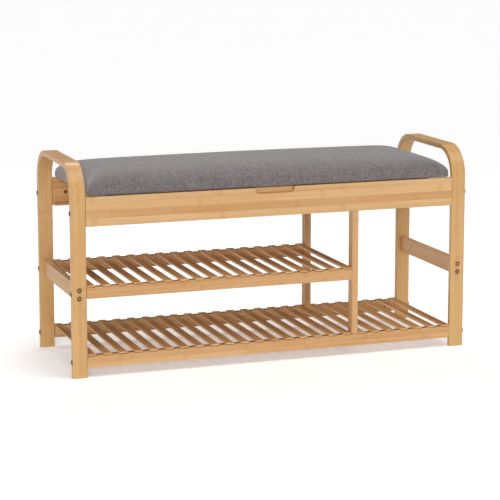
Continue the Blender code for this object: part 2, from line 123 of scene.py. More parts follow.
class Shader:
    """A procedural material; every input takes a socket or a plain value."""

    def __init__(self, name):
        self.material = bpy.data.materials.new(name)
        self.material.use_nodes = True
        self.tree = self.material.node_tree
        self.surface = self.tree.nodes["Principled BSDF"]

    def feed(self, socket, value):
        if isinstance(value, bpy.types.NodeSocket):
            self.tree.links.new(value, socket)
        elif value is not None:
            socket.default_value = value

    def add(self, kind, **settings):
        node = self.tree.nodes.new("ShaderNode" + kind)
        for key, value in settings.items():
            setattr(node, key, value)
        return node

    def math(self, operation, *values, clamp=False):
        node = self.add("Math", operation=operation, use_clamp=clamp)
        for socket, value in zip(node.inputs, values):
            self.feed(socket, value)
        return node.outputs[0]

    def times(self, first, second):
        return self.math("MULTIPLY", first, second)

    def plus(self, value, amount, total, clamp=False):
        """The total with some of a value added."""
        return self.math("MULTIPLY_ADD", value, amount, total, clamp=clamp)

    def sway(self, value, amount, total, clamp=False):
        """The total moved up and down by a value that runs about one half."""
        return self.plus(self.math("SUBTRACT", value, 0.5), amount, total, clamp)

    def scaled(self, vector, factors):
        node = self.add("VectorMath", operation="MULTIPLY")
        self.feed(node.inputs[0], vector)
        self.feed(node.inputs[1], factors)
        return node.outputs[0]

    def joined(self, *values):
        node = self.add("CombineXYZ")
        for socket, value in zip(node.inputs, values):
            self.feed(socket, value)
        return node.outputs[0]

    def split(self, vector):
        node = self.add("SeparateXYZ")
        self.feed(node.inputs[0], vector)
        return node.outputs

    def attribute(self, name):
        return self.add("Attribute", attribute_name=name).outputs

    def place(self):
        return self.add("TexCoord").outputs["Object"]

    def noise(self, vector, factors=(1.0, 1.0, 1.0), w=0.0, detail=2.0, roughness=0.5):
        node = self.add("TexNoise", noise_dimensions="4D")
        self.feed(node.inputs["Vector"], self.scaled(vector, factors))
        self.feed(node.inputs["W"], w)
        node.inputs["Scale"].default_value = 1.0
        node.inputs["Detail"].default_value = detail
        node.inputs["Roughness"].default_value = roughness
        return node.outputs[0]

    def chance(self, vector, w=0.0):
        """A random value and a random colour for each whole-numbered cell."""
        node = self.add("TexWhiteNoise", noise_dimensions="4D")
        self.feed(node.inputs["Vector"], vector)
        self.feed(node.inputs["W"], w)
        return node.outputs

    def ramp(self, value, low, high, start=0.0, end=1.0):
        node = self.add("MapRange", interpolation_type="SMOOTHSTEP")
        for socket, number in zip(node.inputs, (value, low, high, start, end)):
            self.feed(socket, number)
        return node.outputs[0]

    def mix(self, share, first, second, blend="MIX"):
        node = self.add("Mix", data_type="RGBA", blend_type=blend)
        self.feed(node.inputs[0], share)
        self.feed(node.inputs[6], first)
        self.feed(node.inputs[7], second)
        return node.outputs[2]

    def bump(self, height, distance, normal=None):
        node = self.add("Bump")
        node.inputs["Strength"].default_value = 1.0
        node.inputs["Distance"].default_value = distance
        self.feed(node.inputs["Height"], height)
        self.feed(node.inputs["Normal"], normal)
        return node.outputs[0]

    def finish(self, colour, roughness, normal=None, **plain):
        """Links the colour, roughness and bump; everything else is a constant on the shader."""
        self.feed(self.surface.inputs["Base Color"], colour)
        self.feed(self.surface.inputs["Roughness"], roughness)
        self.feed(self.surface.inputs["Normal"], normal)
        for key, value in plain.items():
            self.surface.inputs[key.replace("_", " ")].default_value = value
        return self.material


def rgb(red, green, blue):
    """A shader colour from the sRGB values that it should read as."""
    values = [channel / 255 for channel in (red, green, blue)]
    linear = [v / 12.92 if v <= 0.04045 else ((v + 0.055) / 1.055) ** 2.4 for v in values]
    return (*linear, 1.0)


def bamboo(name, pale, deep, strip, layer, streaks=1.0, knuckles=1.0, gloss=0.12, patches=0.45):
    """Laminated bamboo, glued from strips of this width in layers of this thickness.

    "grain" holds metres along, across and through a board; "piece" is random to each board.
    """
    s = Shader(name)
    along, across, through = s.split(s.attribute("grain")["Vector"])
    grain = s.joined(along, across, through)
    seed = s.times(s.attribute("piece")["Fac"], 37.0)

    # Each strip of each layer has its own tone, and a thin dark line round it
    lane, tier = s.math("DIVIDE", across, strip), s.math("DIVIDE", through, layer)
    row, level = s.math("FLOOR", lane), s.math("FLOOR", tier)
    own_value, own_colour = s.chance(s.joined(row, level, 0.0), seed)
    own_red, own_green = s.split(own_colour)[:2]
    lane_line = s.ramp(s.times(s.math("PINGPONG", lane, 0.5), strip), 0.0, 0.00045, 1.0, 0.0)
    tier_line = s.ramp(s.times(s.math("PINGPONG", tier, 0.5), layer), 0.0, 0.00030, 1.0, 0.0)
    seam = s.math("MAXIMUM", lane_line, tier_line)
    strip_seed = s.math("ADD", seed, s.times(own_value, 19.0))

    # Knuckles, where the cane's joints crossed the strip
    bow = s.noise(grain, (6.0, 160.0, 160.0), strip_seed, 1.0)
    travel = s.math("ADD", s.math("DIVIDE", along, KNUCKLE_PITCH), own_red)
    away = s.math("ABSOLUTE", s.math("SUBTRACT", s.math("FRACT", travel), 0.5))
    to_joint = s.sway(bow, 0.0045, s.times(away, KNUCKLE_PITCH))
    joint = s.ramp(s.math("ABSOLUTE", s.math("SUBTRACT", to_joint, 0.0050)), 0.0003, 0.0016, 1.0, 0.0)
    halo = s.ramp(to_joint, 0.0035, 0.0080, 1.0, 0.0)
    span = s.chance(s.joined(row, level, s.math("FLOOR", travel)), seed)[0]

    # Fibres: broad bands, long streaks and short dark bundles
    bands = s.noise(grain, (1.6, 110.0, 110.0), strip_seed, 2.0, 0.5)
    fibre = s.noise(grain, (7.0, 900.0, 900.0), strip_seed, 4.0, 0.62)
    bundle = s.noise(grain, (34.0, 2300.0, 2300.0), strip_seed, 2.0, 0.5)
    cloud = s.noise(grain, (3.0, 14.0, 14.0), seed, 2.0, 0.5)
    fleck = s.ramp(bundle, 0.60, 0.74)

    tone = 0.50
    parts = ((own_value, patches), (span, 0.22), (bands, 0.85 * streaks), (fibre, 0.80 * streaks))
    for value, amount in parts:
        tone = s.sway(value, amount, tone)
    tone = s.sway(cloud, 0.45, tone, clamp=True)
    warm = s.mix(s.ramp(own_green, 0.2, 1.0, 0.0, 0.5), (1.0, 1.0, 1.0, 1.0), (1.035, 0.955, 0.90, 1.0))
    colour = s.mix(1.0, s.mix(tone, rgb(*deep), rgb(*pale)), warm, "MULTIPLY")
    colour = s.mix(s.times(fleck, 0.30 * streaks), colour, rgb(148, 92, 46))
    colour = s.mix(s.times(halo, 0.22 * knuckles), colour, rgb(176, 120, 70))
    colour = s.mix(s.times(joint, 0.14 * knuckles), colour, rgb(146, 90, 48))
    colour = s.mix(s.times(seam, 0.22), colour, rgb(150, 98, 52))

    roughness = s.plus(joint, 0.10, s.plus(fibre, 0.16, 0.40), clamp=True)
    relief = s.plus(joint, 0.8 * knuckles, s.plus(fleck, -0.35, fibre))
    relief = s.plus(seam, -0.5, relief)
    return s.finish(colour, roughness, s.bump(relief, 0.00006), Coat_Weight=gloss,
                    Coat_Roughness=0.22, Specular_IOR_Level=0.12)


def woven(name):
    """Grey melange plain weave. "weave" holds metres along the two threads."""
    s = Shader(name)
    sheet = s.attribute("weave")["Vector"]
    over, under = s.split(sheet)[:2]
    wander = s.noise(sheet, (60.0, 60.0, 1.0), 3.1, 2.0)

    def thread(place):
        """Which thread this is, and how round it is here across its width."""
        lane = s.math("DIVIDE", s.plus(wander, 0.0006, place), THREAD_PITCH)
        return s.math("FLOOR", lane), s.math("SINE", s.times(s.math("FRACT", lane), math.pi))

    warp, warp_round = thread(over)
    weft, weft_round = thread(under)
    warp_on_top = s.math("MODULO", s.math("ADD", s.math("ABSOLUTE", warp), s.math("ABSOLUTE", weft)), 2.0)

    def upper(of_warp, of_weft):
        """The value of whichever thread is on top."""
        weft_on_top = s.math("SUBTRACT", 1.0, warp_on_top)
        return s.math("ADD", s.times(of_warp, warp_on_top), s.times(of_weft, weft_on_top))

    def hump(across, along):
        return s.times(s.math("POWER", across, 0.6), s.plus(along, 0.6, 0.4))

    height = upper(hump(warp_round, weft_round), hump(weft_round, warp_round))

    # Each thread is spun from lighter and darker fibres, so its tone runs along it in dashes
    warp_dash = s.noise(s.joined(s.times(warp, 3.7), s.times(under, 170.0), 0.0), w=1.7)
    weft_dash = s.noise(s.joined(s.times(over, 170.0), s.times(weft, 3.7), 5.0), w=4.3)
    warp_own = s.chance(s.joined(warp, 0.0, 0.0), 2.0)[0]
    weft_own = s.chance(s.joined(0.0, weft, 0.0), 5.0)[0]
    spun = upper(s.plus(warp_own, 0.25, s.times(warp_dash, 1.1)),
                 s.plus(weft_own, 0.25, s.times(weft_dash, 1.1)))
    mottle = s.noise(sheet, (210.0, 210.0, 1.0), 7.7, 3.0, 0.6)
    slow = s.noise(sheet, (22.0, 22.0, 1.0), 9.9, 2.0)
    fuzz = s.noise(sheet, (5200.0, 5200.0, 1.0), 6.1, 2.0)
    tone = s.plus(s.math("SUBTRACT", spun, 0.67), 0.85, 0.50)
    tone = s.sway(slow, 0.25, s.sway(mottle, 1.5, tone))
    tone = s.sway(fuzz, 0.22, tone, clamp=True)
    colour = s.mix(tone, rgb(62, 56, 55), rgb(146, 137, 136))
    # Darker where the threads dip under one another: painted shade between the threads.
    colour = s.mix(s.ramp(height, 0.0, 0.55, 0.55, 0.0), colour, rgb(58, 53, 52))
    relief = s.plus(mottle, 0.6, s.plus(fuzz, 0.25, height))
    return s.finish(colour, s.ramp(fuzz, 0.2, 0.8, 0.86, 0.98), s.bump(relief, 0.00022),
                    Sheen_Weight=0.45, Sheen_Roughness=0.50, Specular_IOR_Level=0.25)


def metal(name, pale, deep, low, high, grain=(1500.0, 1500.0, 1500.0)):
    """Worn plating, with a roughness from low to high and fine relief."""
    s = Shader(name)
    place = s.place()
    cloud = s.noise(place, (420.0, 420.0, 420.0), 1.3, 3.0, 0.6)
    fine = s.noise(place, grain, 2.7, 3.0, 0.65)
    worn = s.ramp(s.math("ADD", cloud, s.times(fine, 0.5)), 0.5, 1.0)
    colour = s.mix(worn, rgb(*deep), rgb(*pale))
    return s.finish(colour, s.ramp(fine, 0.3, 0.7, low, high), s.bump(fine, 0.00001), Metallic=1.0)


def hardboard(name):
    """Smooth pressed board for the tray's floor and the lid's underside."""
    s = Shader(name)
    place = s.place()
    chips = s.noise(place, (620.0, 900.0, 620.0), 0.4, 3.0, 0.7)
    fibre = s.noise(place, (160.0, 1500.0, 900.0), 2.4, 3.0, 0.6)
    cloud = s.noise(place, (9.0, 14.0, 9.0), 5.2, 2.0)
    tone = s.sway(fibre, 0.7, s.sway(chips, 1.1, 0.5))
    tone = s.sway(cloud, 0.4, tone, clamp=True)
    colour = s.mix(tone, rgb(176, 132, 88), rgb(220, 186, 146))
    return s.finish(colour, s.ramp(chips, 0.2, 0.8, 0.5, 0.68), s.bump(chips, 0.00005),
                    Specular_IOR_Level=0.35)


ARCH_BAMBOO = bamboo("arch_bamboo", (211, 174, 120), (184, 136, 80), 0.0092, 0.0043,
                     streaks=0.85, knuckles=0.8, gloss=0.45, patches=0.14)
BOARD_BAMBOO = bamboo("board_bamboo", (213, 177, 130), (182, 132, 80), BOARD_STRIP, 0.0050,
                      streaks=1.2, gloss=0.20, patches=0.62)
# Darker bamboo for the slats' tops and bottoms: painted shade, as the shelves lie under the seat.
SLAT_SHADE_BAMBOO = bamboo("slat_bamboo", (200, 154, 98), (156, 106, 58), 0.0120, 0.0035,
                     streaks=1.1, gloss=0.08)
# Paler bamboo for the slats' side faces: partly their edge tone, partly painted light.
SLAT_EDGE_TONE_AND_LIGHT_BAMBOO = bamboo("slat_edge_bamboo", (234, 200, 154), (206, 160, 108), BOARD_STRIP, 0.0050,
                          knuckles=0.6, gloss=0.08)
# Dark bamboo for the rails' upward faces: painted shade in the gaps between the slats.
RAIL_TOP_SHADE_BAMBOO = bamboo("rail_top_bamboo", (142, 102, 62), (104, 70, 40), BOARD_STRIP, 0.0050,
                         knuckles=0.5, gloss=0.0)
CLEAT_BAMBOO = bamboo("cleat_bamboo", (204, 156, 112), (170, 118, 78), 0.0090, 0.0050,
                      streaks=0.8, knuckles=0.5, gloss=0.05)
# Darker bamboo for the finger pull's floor and ends: painted shade under the cushion's overhang.
PULL_SHADE_BAMBOO = bamboo("routed_bamboo", (196, 146, 82), (160, 110, 58), BOARD_STRIP, 0.0050,
                       knuckles=0.5, gloss=0.05)
PANEL = hardboard("tray_hardboard")
FABRIC = woven("seat_melange")
BRONZE = metal("bolt_bronze", (148, 116, 86), (88, 64, 46), 0.30, 0.46)
# Paler metal for the screws' sockets: bare steel, and a painted highlight.
SOCKET_STEEL_AND_HIGHLIGHT = metal("bolt_socket", (196, 178, 160), (156, 134, 116), 0.32, 0.46)
BRASS = metal("nut_bronze", (168, 116, 62), (104, 66, 32), 0.30, 0.45)
STEEL = metal("hinge_zinc", (206, 206, 208), (160, 160, 164), 0.24, 0.40, (300.0, 2400.0, 2400.0))


# ---------------------------------------------------------------- mesh tools


def item_from(name, bm):
    """Turns a bmesh into an object at the origin."""
    bmesh.ops.recalc_face_normals(bm, faces=bm.faces)
    mesh = bpy.data.meshes.new(name)
    bm.to_mesh(mesh)
    bm.free()
    item = bpy.data.objects.new(name, mesh)
    bpy.context.scene.collection.objects.link(item)
    return item


def box_item(name, one, other):
    """A box between two opposite corners."""
    bm = bmesh.new()
    bmesh.ops.create_cube(bm, size=1.0)
    bmesh.ops.scale(bm, vec=[abs(b - a) for a, b in zip(one, other)], verts=bm.verts)
    bmesh.ops.translate(bm, vec=[(a + b) / 2 for a, b in zip(one, other)], verts=bm.verts)
    return item_from(name, bm)


def loft(bm, rings, cap=True):
    """Joins closed rings of equally many points; returns the rings' vertices."""
    made = [[bm.verts.new(point) for point in ring] for ring in rings]
    for first, second in zip(made, made[1:]):
        for step in range(len(first)):
            after = (step + 1) % len(first)
            bm.faces.new((first[step], first[after], second[after], second[step]))
    if cap:
        bm.faces.new(made[0])
        bm.faces.new(made[-1])
    return made


def extruded(name, outline, axis, low, high):
    """A closed outline of (a, b) points, extruded along axis 0 (a is Y) or 1 (a is X)."""
    bm = bmesh.new()
    rings = []
    for place in (low, high):
        rings.append([(place, a, b) if axis == 0 else (a, place, b) for a, b in outline])
    loft(bm, rings)
    return item_from(name, bm)


def arc(centre, radius, start, end, steps):
    turns = [math.radians(start + (end - start) * step / steps) for step in range(steps + 1)]
    return [(centre[0] + radius * math.cos(t), centre[1] + radius * math.sin(t)) for t in turns]


def circle(radius, height, segments):
    """A ring about +Z; the radius is a number or a function of the angle."""
    turns = [2 * math.pi * step / segments for step in range(segments)]
    reaches = [radius(turn) if callable(radius) else radius for turn in turns]
    return [(reach * math.cos(turn), reach * math.sin(turn), height) for reach, turn in zip(reaches, turns)]


def turned(bm, profile, segments, cap=True):
    """Turns a profile of (radius, height) about +Z."""
    return loft(bm, [circle(radius, height, segments) for radius, height in profile], cap)


def aimed(bm, axis, sign, place):
    """Turns a mesh built about +Z to face along an axis, and moves it into place."""
    towards = Vector([sign if k == axis else 0.0 for k in range(3)])
    turn = towards.to_track_quat("Z", "Y").to_matrix()
    bmesh.ops.rotate(bm, matrix=turn, verts=bm.verts)
    bmesh.ops.translate(bm, vec=place, verts=bm.verts)


def cylinders(name, rows, segments=28):
    """Drills in one mesh; each row is (axis, centre, radius, low, high)."""
    bm = bmesh.new()
    for axis, centre, radius, low, high in rows:
        first, second = [k for k in range(3) if k != axis]
        rings = []
        for place in (low, high):
            ring = [list(centre) for step in range(segments)]
            for point, (a, b, level) in zip(ring, circle(radius, place, segments)):
                point[first] += a
                point[second] += b
                point[axis] = level
            rings.append(ring)
        loft(bm, rings)
    return item_from(name, bm)


def change(item, cutter, operation="DIFFERENCE"):
    modifier = item.modifiers.new(cutter.name, "BOOLEAN")
    modifier.operation = operation
    modifier.solver = "EXACT"
    modifier.object = cutter
    cutter.hide_render = True
    item["cutters"] = list(item.get("cutters", [])) + [cutter.name]


def soften(item, width, segments=3, angle=40):
    modifier = item.modifiers.new("edges", "BEVEL")
    modifier.width = width
    modifier.segments = segments
    modifier.limit_method = "ANGLE"
    modifier.angle_limit = math.radians(angle)
    modifier.use_clamp_overlap = False


def settle(item, sharp=35):
    """Applies every modifier, leaves one plain mesh, and shades it by its large faces."""
    graph = bpy.context.evaluated_depsgraph_get()
    mesh = bpy.data.meshes.new_from_object(item.evaluated_get(graph))
    item.modifiers.clear()
    item.data = mesh
    for name in list(item.get("cutters", [])):
        bpy.data.objects.remove(bpy.data.objects[name])
    if "cutters" in item:
        del item["cutters"]
    mesh.shade_smooth()
    mesh.set_sharp_from_angle(angle=math.radians(sharp))
    modifier = item.modifiers.new("normals", "WEIGHTED_NORMAL")
    modifier.keep_sharp = True
    modifier.weight = 60
    return item


def points_of(item):
    values = np.zeros(len(item.data.vertices) * 3)
    item.data.vertices.foreach_get("co", values)
    return values.reshape(-1, 3)


def write_attribute(item, name, values, kind):
    attribute = item.data.attributes.new(name, kind, "POINT")
    key = "vector" if kind == "FLOAT_VECTOR" else "value"
    attribute.data.foreach_set(key, np.asarray(values, np.float32).ravel())


def placed(item, material, body, nodes=()):
    """Gives a finished piece its material, its body and the CAD nodes that it stands for."""
    if material is not None:
        item.data.materials.clear()
        item.data.materials.append(material)
    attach(item, body)
    if nodes:
        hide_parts(*nodes)
    return item


def face_material(item, material, chosen):
    """Gives the chosen faces another material."""
    item.data.materials.append(material)
    index = len(item.data.materials) - 1
    for face in item.data.polygons:
        if chosen(face):
            face.material_index = index


def straight_grain(axes):
    """Grain for a straight board: which axes run along, across and through it."""
    return lambda points: points[:, list(axes)]


def wooden(item, grain, material, nodes=(), cut_from=None):
    """Settles a wooden piece and writes where each point lies in its board.

    Each piece is cut from a random place in a random board, unless cut_from gives both.
    """
    settle(item)
    points = points_of(item)
    shift = (dice.uniform(0, 3.0), dice.uniform(0, 0.02), dice.uniform(0, 0.004))
    piece = dice.random()
    if cut_from:
        shift, piece = cut_from
    write_attribute(item, "grain", grain(points) + np.array(shift), "FLOAT_VECTOR")
    write_attribute(item, "piece", np.full(len(points), piece), "FLOAT")
    return placed(item, material, "frame", nodes)


# ---------------------------------------------------------------- bolts and nuts


class Bolt:
    """A bolt's box, the axis it lies on, and which way its head faces."""

    def __init__(self, node):
        self.node = node
        self.low, self.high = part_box(node)
        self.middle = (self.low + self.high) / 2
        size = self.high - self.low
        self.axis = max(range(3), key=lambda k: size[k])
        self.length = size[self.axis]
        self.sign = 1 if self.middle[self.axis] > 0 else -1
        ends = sorted((self.low[self.axis], self.high[self.axis]), key=abs)
        self.tip, self.head = ends

    def crosses(self, low, high, axes=(0, 1, 2)):
        return all(self.low[k] <= high[k] and self.high[k] >= low[k] for k in axes)

    def hole(self):
        """Its clearance hole, as a row for cylinders()."""
        ends = sorted((self.tip - self.sign * GAP, self.head + self.sign * CLEAR))
        return (self.axis, self.middle, SHANK_RADIUS + GAP, *ends)


BOLTS = [Bolt(node) for node in sorted(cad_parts) if "_bolt_" in node]
ARCH_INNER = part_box("arch_right")[0].x
NUTS = []  # each barrel nut's bolt and place, noted as its hole is made


def drill(item, rows):
    if rows:
        change(item, cylinders(item.name + "_drills", rows))


def holes_for(node):
    """The holes of the bolts that cross a node's box."""
    return [bolt.hole() for bolt in BOLTS if bolt.crosses(*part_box(node))]


def end_bolts(low, high):
    """The bolts along X whose line runs through a board."""
    return [bolt for bolt in BOLTS if bolt.axis == 0 and bolt.crosses(low, high, (1, 2))]


def nut_holes(bolts, low, high, depth):
    """Blind cross holes for the bolts' barrel nuts, in the inner face of a board."""
    inner = high.y if depth < 0 else low.y
    rows = []
    for bolt in bolts:
        place = Vector((bolt.sign * (ARCH_INNER - NUT_FROM_END), inner, bolt.middle.z))
        ends = sorted((inner + depth * NUT_DEPTH, inner - depth * CLEAR))
        rows.append((1, place, NUT_RADIUS, *ends))
        NUTS.append((bolt, place, depth))
    return rows


def add_bolts():
    """Button-head screws with a hexagon socket, paler in and round the socket: bare steel there, and a
    painted highlight.
    """
    def hexagon(turn):
        return HEX_APOTHEM / math.cos((turn % (math.pi / 3)) - math.pi / 6)

    for bolt in BOLTS:
        profile = [
            (hexagon, -HEX_DEPTH),
            (hexagon, -0.00025),
            (HEX_APOTHEM + 0.00062, -0.00004),
            (HEAD_RADIUS - 0.0016, 0.0),
            (HEAD_RADIUS - 0.0007, -0.00018),
            (HEAD_RADIUS - 0.0002, -0.00055),
            (HEAD_RADIUS, -0.00105),
            (HEAD_RADIUS, -HEAD_HEIGHT + 0.0001),
            (HEAD_RADIUS - 0.0001, -HEAD_HEIGHT),
            (SHANK_RADIUS, -HEAD_HEIGHT),
            (SHANK_RADIUS, -bolt.length + SHANK_TIP),
            (SHANK_RADIUS - SHANK_TIP, -bolt.length),
        ]
        bm = bmesh.new()
        rings = turned(bm, profile, 48, cap=False)
        hub = bm.verts.new((0.0, 0.0, -HEX_DEPTH))
        for before, after in zip(rings[0], rings[0][1:] + rings[0][:1]):
            bm.faces.new((hub, before, after))
        bm.faces.new(rings[-1])
        place = bolt.middle.copy()
        place[bolt.axis] = bolt.head
        aimed(bm, bolt.axis, bolt.sign, place)
        for face in bm.faces:
            offset = face.calc_center_median() - place
            near_head = offset[bolt.axis] * bolt.sign > -0.004
            offset[bolt.axis] = 0.0
            # The socket and a thin ring round it take the paler metal: bare steel, and a painted highlight.
            face.material_index = int(near_head and offset.length < HEX_APOTHEM + 0.0004)
        item = item_from("socket_screw_" + bolt.node.replace("_bolt", ""), bm)
        settle(item, 30)
        item.data.materials.append(BRONZE)
        item.data.materials.append(SOCKET_STEEL_AND_HIGHLIGHT)
        placed(item, None, "frame", (bolt.node,))


def add_nuts():
    """Barrel nuts, slotted across their ends and bored for the bolts."""
    radius = NUT_RADIUS - NUT_PLAY
    profile = [(radius - 0.0006, -0.0004), (radius - 0.0002, -0.00055), (radius, -0.0010),
               (radius, -NUT_DEPTH + 0.0008), (radius - 0.0006, -NUT_DEPTH + GAP)]
    for bolt, place, depth in NUTS:
        bm = bmesh.new()
        turned(bm, profile, 36)
        aimed(bm, 1, -depth, place)
        item = item_from("barrel_nut_" + bolt.node.replace("_bolt", ""), bm)
        slot = (place + Vector((radius * 0.72, -depth * CLEAR, 0.0006)),
                place + Vector((-radius * 0.72, depth * 0.0012, -0.0006)))
        change(item, box_item(item.name + "_slot", *slot))
        bore = (0, bolt.middle, SHANK_RADIUS + 0.0001, place.x - 0.01, place.x + 0.01)
        change(item, cylinders(item.name + "_bore", [bore]))
        settle(item, 30)
        placed(item, BRASS, "frame")


# ---------------------------------------------------------------- bamboo pieces


def add_arch(name, node):
    """A bent strip: a rounded section swept up one leg, over the armrest and down the other."""
    low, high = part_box(node)
    half_x = (high.x - low.x) / 2
    centre_x = (high.x + low.x) / 2
    front, back = low.y + BEND_RADIUS, high.y - BEND_RADIUS
    bend_z = high.z - BEND_RADIUS
    path = [(low.y, 0.0, 180.0)]
    for start, end, centre in ((180.0, 90.0, front), (90.0, 0.0, back)):
        for step in range(BEND_STEPS + 1):
            angle = start + (end - start) * step / BEND_STEPS
            turn = math.radians(angle)
            path.append((centre + BEND_RADIUS * math.cos(turn), bend_z + BEND_RADIUS * math.sin(turn), angle))
    path.append((high.y, 0.0, 0.0))

    def section(inset):
        """Rounded outline across the strip and through its thickness, from the outer face in."""
        r = ARCH_ROUNDING
        x, t = half_x - inset, STRIP_THICKNESS - inset
        points = arc((x - r, inset + r), r, -90, 0, 5) + arc((x - r, t - r), r, 0, 90, 5)
        return points + arc((-x + r, t - r), r, 90, 180, 5) + arc((-x + r, inset + r), r, 180, 270, 5)

    def ring(place, inset=0.0, lift=0.0):
        y, z, angle = place
        turn = math.radians(angle)
        inward = (-math.cos(turn), -math.sin(turn))
        return [(centre_x + a, y + b * inward[0], z + b * inward[1] + lift) for a, b in section(inset)]

    foot = ((0.0010, 0.0), (0.0003, 0.0003), (0.0, 0.0010))  # inset and lift round a foot's edge
    rings = [ring(path[0], inset, lift) for inset, lift in foot]
    rings += [ring(place) for place in path[1:-1]]
    rings += [ring(path[-1], inset, lift) for inset, lift in reversed(foot)]
    bm = bmesh.new()
    loft(bm, rings)
    item = item_from(name, bm)
    drill(item, holes_for(node))

    def grain(points):
        """Runs up the front leg, round the bends and down the back leg."""
        y, z = points[:, 1], points[:, 2]
        middle = BEND_RADIUS - STRIP_THICKNESS / 2
        quarter = middle * math.pi / 2
        upper = z > bend_z
        at_front, at_back = upper & (y < front), upper & (y > back)
        along = np.where(y < 0, z, 2 * bend_z + 2 * quarter + (back - front) - z)
        through = np.where(y < 0, y - low.y, high.y - y)
        along = np.where(upper, bend_z + quarter + (y - front), along)
        through = np.where(upper, high.z - z, through)
        bends = ((at_front, front, bend_z, -1), (at_back, back, bend_z + quarter + back - front, 1))
        for chosen, centre, begin, way in bends:
            reach = np.hypot(y - centre, z - bend_z)
            turn = np.arctan2(z - bend_z, (y - centre) * way)
            swept = middle * (turn if way < 0 else math.pi / 2 - turn)
            along = np.where(chosen, begin + swept, along)
            through = np.where(chosen, BEND_RADIUS - reach, through)
        return np.stack([along, points[:, 0] - low.x, through], axis=1)

    wooden(item, grain, ARCH_BAMBOO, (node,))


def pull_cutter(low, high):
    """The routed finger pull: open at the top and the front, with a cove along its back."""
    top, bottom = high.z + CLEAR, high.z - PULL_HEIGHT
    slope = (PULL_TOP - PULL_BOTTOM) / PULL_HEIGHT * (top - bottom)

    def outline(inset):
        half = PULL_BOTTOM - inset
        corner = max(PULL_CORNER - inset, 0.002)
        base = bottom + inset
        right = [(half + slope, top)] + arc((half - corner, base + corner), corner, 0, -90, 8)
        return right + [(-a, b) for a, b in reversed(right)]

    rings = [[(a, low.y - CLEAR, b) for a, b in outline(0.0)]]
    for step in range(7):
        turn = math.radians(90 * step / 6)
        y = low.y + PULL_DEPTH - PULL_COVE + PULL_COVE * math.sin(turn)
        inset = PULL_COVE * (1 - math.cos(turn))
        rings.append([(a, y, b) for a, b in outline(inset)])
    bm = bmesh.new()
    loft(bm, rings)
    return item_from("finger_pull", bm)


def mortise_cutter(name, pin, high, inner):
    """The seat of a hinge in the back apron's top edge."""
    low_pin, high_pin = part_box(pin)
    axis = (low_pin + high_pin) / 2
    leaf_z = high.z - LEAF_THICKNESS - GAP
    knuckle_y = axis.y - LEAF_TO_KNUCKLE
    knuckle_z = axis.z - KNUCKLE_RADIUS - GAP
    above = high.z + CLEAR
    outline = [(inner - 0.001, above), (inner - 0.001, leaf_z), (knuckle_y, leaf_z), (knuckle_y, knuckle_z),
               (high.y + 0.001, knuckle_z), (high.y + 0.001, above)]
    return extruded(name, outline, 0, low_pin.x - GAP, high_pin.x + GAP)


def add_aprons():
    for label, depth in DEPTHS:
        node = label + "_apron"
        low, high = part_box(node)
        item = box_item("apron_board_" + label, low, high)
        if depth < 0:
            change(item, pull_cutter(low, high))
            soften(item, BOARD_ROUNDING)
        else:
            for side, sign in SIDES:
                change(item, mortise_cutter("mortise_" + side, "hinge_pin_" + side, high, low.y))
            soften(item, 0.0006)
        drill(item, holes_for(node) + nut_holes(end_bolts(low, high), low, high, depth))
        across = APRON_STRIPS * BOARD_STRIP - (high.z - APRON_SEAM)
        cut_from = ((APRON_START, across, APRON_LAYER), APRON_PIECE) if depth < 0 else None
        wooden(item, straight_grain((0, 2, 1)), BOARD_BAMBOO, (node,), cut_from)
        if depth < 0:
            def in_pull(face):
                """The routed floor and ends of the finger pull."""
                x, y, z = face.center
                return (low.y + 0.0004 < y < low.y + PULL_DEPTH - 0.0002 and abs(x) < PULL_TOP + 0.003
                        and high.z - PULL_HEIGHT - 0.003 < z < high.z - 0.0004)

            # The pull's floor and ends take the darker bamboo: painted shade under the cushion's overhang.
            face_material(item, PULL_SHADE_BAMBOO, in_pull)


def add_rail(name, low, high, slats, drills, nodes):
    """A rail whose top edge is notched for each slat that crosses it."""
    outline = [(high.x, low.z), (low.x, low.z)]
    for slat_low, slat_high in slats:
        left, right = max(slat_low.x - GAP, low.x), min(slat_high.x + GAP, high.x)
        floor = slat_low.z - GAP
        if left > low.x:
            outline.append((left, high.z))
        outline += [(left, floor), (right, floor)]
        if right < high.x:
            outline.append((right, high.z))
    if slats[-1][1].x + GAP < high.x:
        outline.append((high.x, high.z))
    item = extruded(name, outline, 1, low.y, high.y)
    soften(item, RAIL_ROUNDING, 2)
    drill(item, drills)
    wooden(item, straight_grain((0, 2, 1)), BOARD_BAMBOO, nodes)
    # The rails' upward faces take the dark bamboo: painted shade between the slats.
    face_material(item, RAIL_TOP_SHADE_BAMBOO, lambda face: face.normal.z > 0.6)


def add_slat(name, low, high, nodes):
    item = box_item(name, low, high)
    soften(item, SLAT_ROUNDING)
    # The slats' tops and bottoms take the darker bamboo, painted shade; their ends keep the board's own tone.
    wooden(item, straight_grain((1, 0, 2)), SLAT_SHADE_BAMBOO, nodes)
    face_material(item, BOARD_BAMBOO, lambda face: abs(face.normal.y) > 0.7)
    # Both side faces take the paler bamboo: partly edge tone, partly painted light.
    face_material(item, SLAT_EDGE_TONE_AND_LIGHT_BAMBOO, lambda face: abs(face.normal.x) > 0.6)


def add_upper_shelf():
    names = sorted(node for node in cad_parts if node.startswith("upper_slat_"))
    slats = [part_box(node) for node in names]
    for label, depth in DEPTHS:
        node = "upper_rail_" + label
        low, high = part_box(node)
        drills = holes_for(node) + nut_holes(end_bolts(low, high), low, high, depth)
        add_rail("upper_rail_board_" + label, low, high, slats, drills, (node,))
    for node, (low, high) in zip(names, slats):
        add_slat(node.replace("slat", "shelf_slat"), low, high, (node,))


